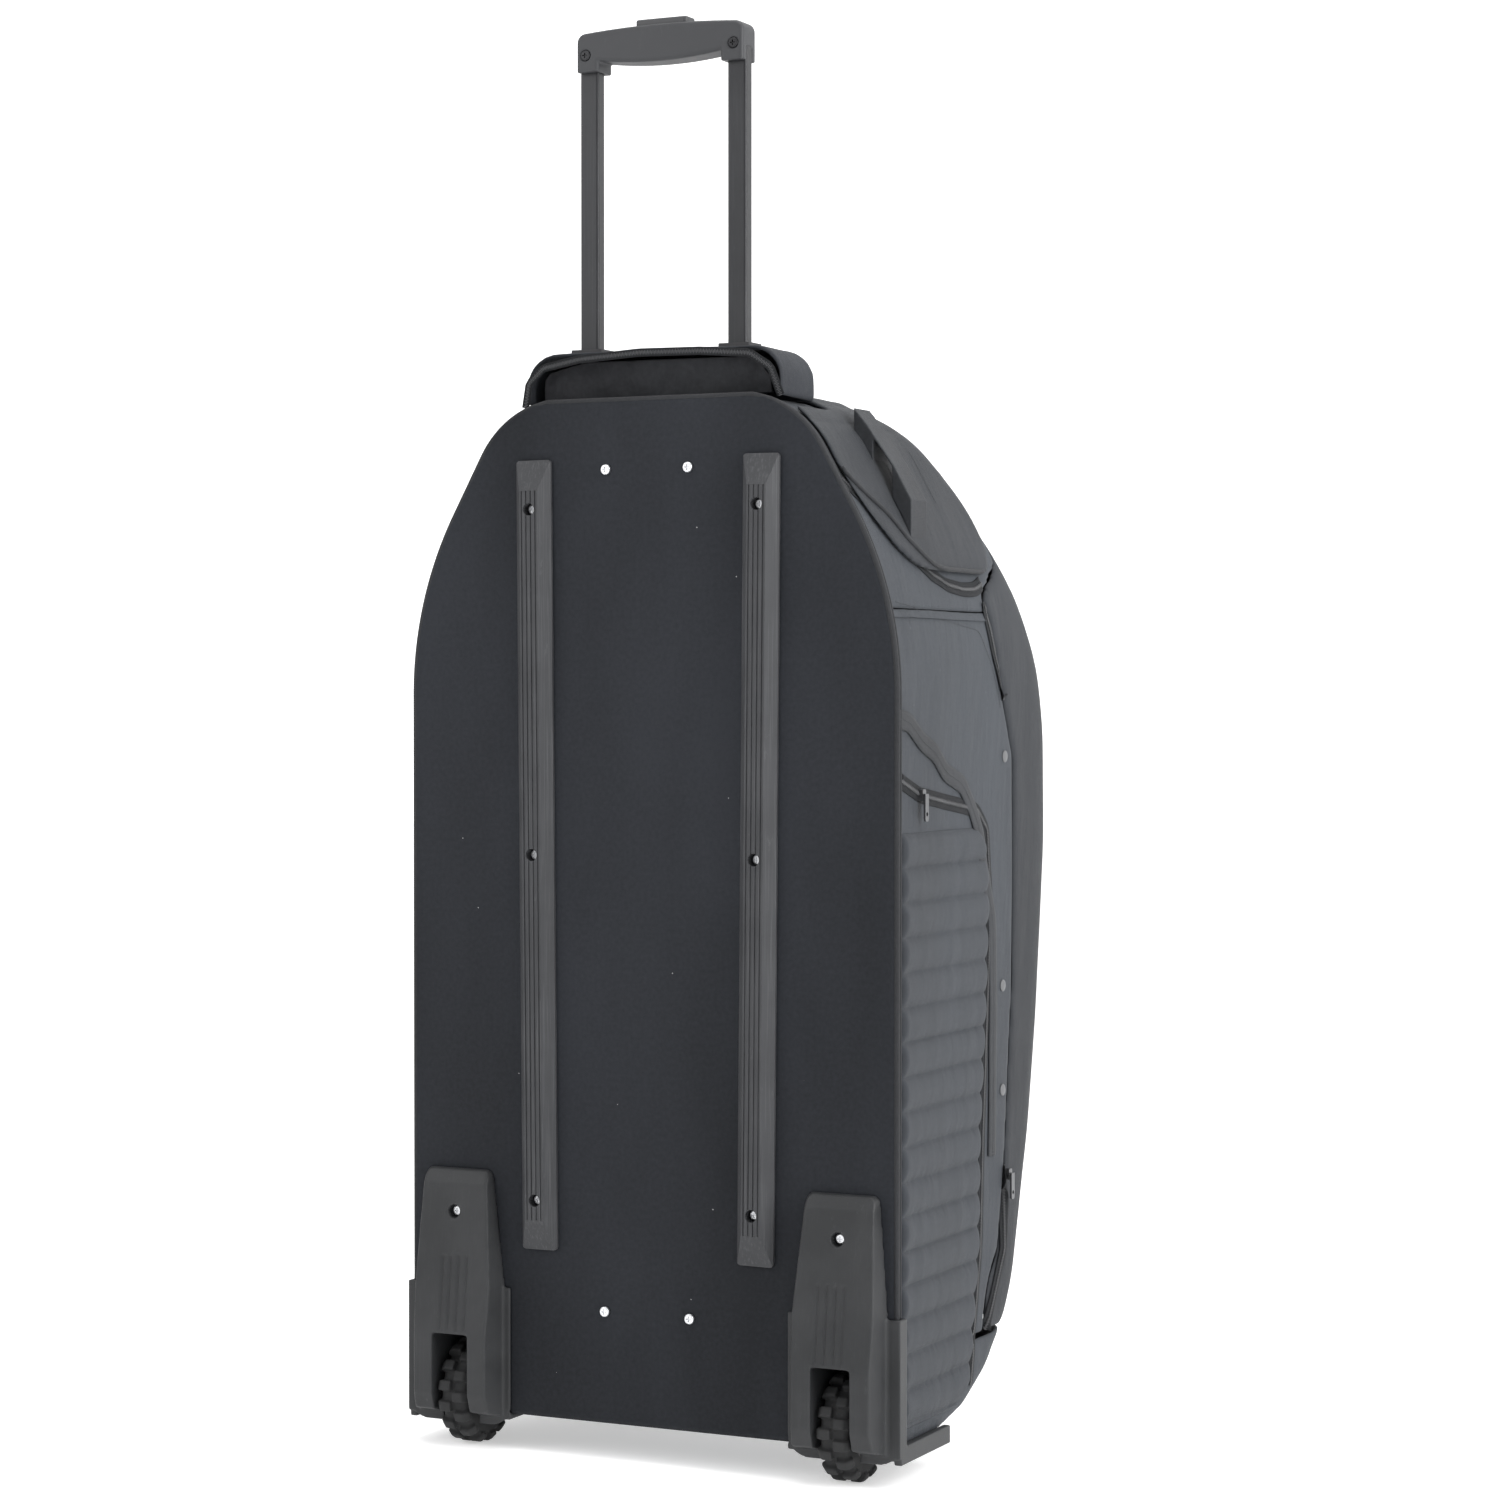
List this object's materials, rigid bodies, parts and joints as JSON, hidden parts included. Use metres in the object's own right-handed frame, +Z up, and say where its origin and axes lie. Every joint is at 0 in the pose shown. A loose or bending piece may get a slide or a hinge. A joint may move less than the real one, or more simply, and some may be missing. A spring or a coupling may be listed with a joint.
{
  "type": "wheeled hockey equipment bag",
  "caption": "Tall wheeled soft sports equipment bag with a stiff ribbed back, telescoping pull handle, hinged top flap, front lid and zipped side pads.",
  "frame": {"origin": "on the ground under the middle of the bag's box", "axes": "+Z up, +Y towards the bag's front, +X to the right seen from behind, where the handle and wheels are"},
  "size_m": [0.5328, 0.466, 1.392],
  "materials": {
    "base_cloth": "coated polyester, fine weave, dull",
    "side_cloth": "polyester, satin",
    "lid_cloth": "polyester, satin",
    "pad_cloth": "quilted polyester",
    "piping": "woven binding",
    "webbing": "ribbed webbing",
    "board": "sheet",
    "guard_plastic": "moulded, fine texture",
    "rail_plastic": "moulded, scuffed",
    "zinc": "bright zinc",
    "black_steel": "black oxide",
    "tube_metal": "dark grey satin",
    "sleeve_metal": "mill finish",
    "grip_plastic": "fine grain",
    "inner_plastic": "moulded",
    "tyre": "moulded rubber",
    "hub": "moulded",
    "bush": "sintered",
    "zip_metal": "gunmetal"
  },
  "bodies": {
    "bag": {"base_panel": "base_cloth", "base_board": "board", "base_piping": "piping", "bottom_panel": "side_cloth", "top_panel": "side_cloth", "handle_hood": "side_cloth", "tube_collars": "inner_plastic", "handle_bracket_top": "inner_plastic", "handle_bracket_foot": "inner_plastic", "handle_frame_screws": "zinc", "rail_screws": "zinc", "housing_screws": "zinc", "tee_nuts": "zinc", "side_panel_left": "side_cloth", "side_panel_right": "side_cloth", "side_pad_left": "pad_cloth", "side_pad_right": "pad_cloth", "rail_left": "rail_plastic", "rail_right": "rail_plastic", "wheel_housing_left": "guard_plastic", "wheel_housing_right": "guard_plastic", "axle_left": "zinc", "axle_right": "zinc", "tube_sleeve_left": "sleeve_metal", "tube_sleeve_right": "sleeve_metal", "stand_foot_left": "guard_plastic", "stand_foot_right": "guard_plastic"},
    "handle": {"tube_left": "tube_metal", "tube_right": "tube_metal", "grip": "grip_plastic", "grip_screws": "black_steel", "button_springs": "zinc"},
    "button": {"grip_button": "grip_plastic", "lock_link": "sleeve_metal"},
    "top_flap": {"top_flap": "lid_cloth", "carry_strap": "webbing"},
    "front_lid": {"front_lid": "lid_cloth"},
    "wheel_left": {"tyre_left": "tyre", "wheel_hub_left": "hub", "wheel_bush_left": "bush"},
    "pocket_slider_left": {"pocket_slider_left": "zip_metal"},
    "pocket_pull_left": {"pocket_pull_left": "zip_metal"},
    "main_slider_left": {"main_slider_left": "zip_metal"},
    "main_pull_left": {"main_pull_left": "zip_metal"},
    "wheel_right": {"tyre_right": "tyre", "wheel_hub_right": "hub", "wheel_bush_right": "bush"},
    "pocket_slider_right": {"pocket_slider_right": "zip_metal"},
    "pocket_pull_right": {"pocket_pull_right": "zip_metal"},
    "main_slider_right": {"main_slider_right": "zip_metal"},
    "main_pull_right": {"main_pull_right": "zip_metal"}
  },
  "joints": [
    {"name": "wheel_spin_left", "type": "hinge", "parent": "bag", "child": "wheel_left", "pos_m": [-0.205, -0.178, 0.052], "axis": [1, 0, 0], "continuous": true},
    {"name": "wheel_spin_right", "type": "hinge", "parent": "bag", "child": "wheel_right", "pos_m": [0.205, -0.178, 0.052], "axis": [1, 0, 0], "continuous": true},
    {"name": "handle_slide", "type": "slide", "parent": "bag", "child": "handle", "axis": [0, 0, 1], "range_m": [-0.255, 0]},
    {"name": "button_press", "type": "slide", "parent": "handle", "child": "button", "axis": [0, 0, -1], "range_m": [0, 0.0045], "stiffness_N_per_m": 900, "springref_m": -0.003, "deforming": ["button_springs"]},
    {"name": "top_flap_hinge", "type": "hinge", "parent": "bag", "child": "top_flap", "pos_m": [0, 0.083, 0.992], "axis": [-1, 0, 0], "range_deg": [0, 110]},
    {"name": "front_lid_hinge", "type": "hinge", "parent": "bag", "child": "front_lid", "pos_m": [0, 0.1216, 0.112], "axis": [-1, 0, 0], "range_deg": [0, 85]},
    {"name": "pocket_zip_left", "type": "slide", "parent": "bag", "child": "pocket_slider_left", "axis": [0, 0.992, -0.1263], "range_m": [-0.035, 0.11]},
    {"name": "pocket_pull_hinge_left", "type": "hinge", "parent": "pocket_slider_left", "child": "pocket_pull_left", "pos_m": [-0.2654, -0.146, 0.646], "axis": [0, 1, 0], "range_deg": [0, 120]},
    {"name": "main_zip_left", "type": "slide", "parent": "bag", "child": "main_slider_left", "axis": [0, -0.1941, -0.981], "range_m": [0, 0.06]},
    {"name": "main_pull_hinge_left", "type": "hinge", "parent": "main_slider_left", "child": "main_pull_left", "pos_m": [-0.2654, 0.073, 0.262], "axis": [0, 1, 0], "range_deg": [0, 120]},
    {"name": "pocket_zip_right", "type": "slide", "parent": "bag", "child": "pocket_slider_right", "axis": [0, 0.992, -0.1263], "range_m": [-0.035, 0.11]},
    {"name": "pocket_pull_hinge_right", "type": "hinge", "parent": "pocket_slider_right", "child": "pocket_pull_right", "pos_m": [0.2654, -0.146, 0.646], "axis": [0, -1, 0], "range_deg": [0, 120]},
    {"name": "main_zip_right", "type": "slide", "parent": "bag", "child": "main_slider_right", "axis": [0, -0.1941, -0.981], "range_m": [0, 0.06]},
    {"name": "main_pull_hinge_right", "type": "hinge", "parent": "main_slider_right", "child": "main_pull_right", "pos_m": [0.2654, 0.073, 0.262], "axis": [0, -1, 0], "range_deg": [0, 120]}
  ]
}
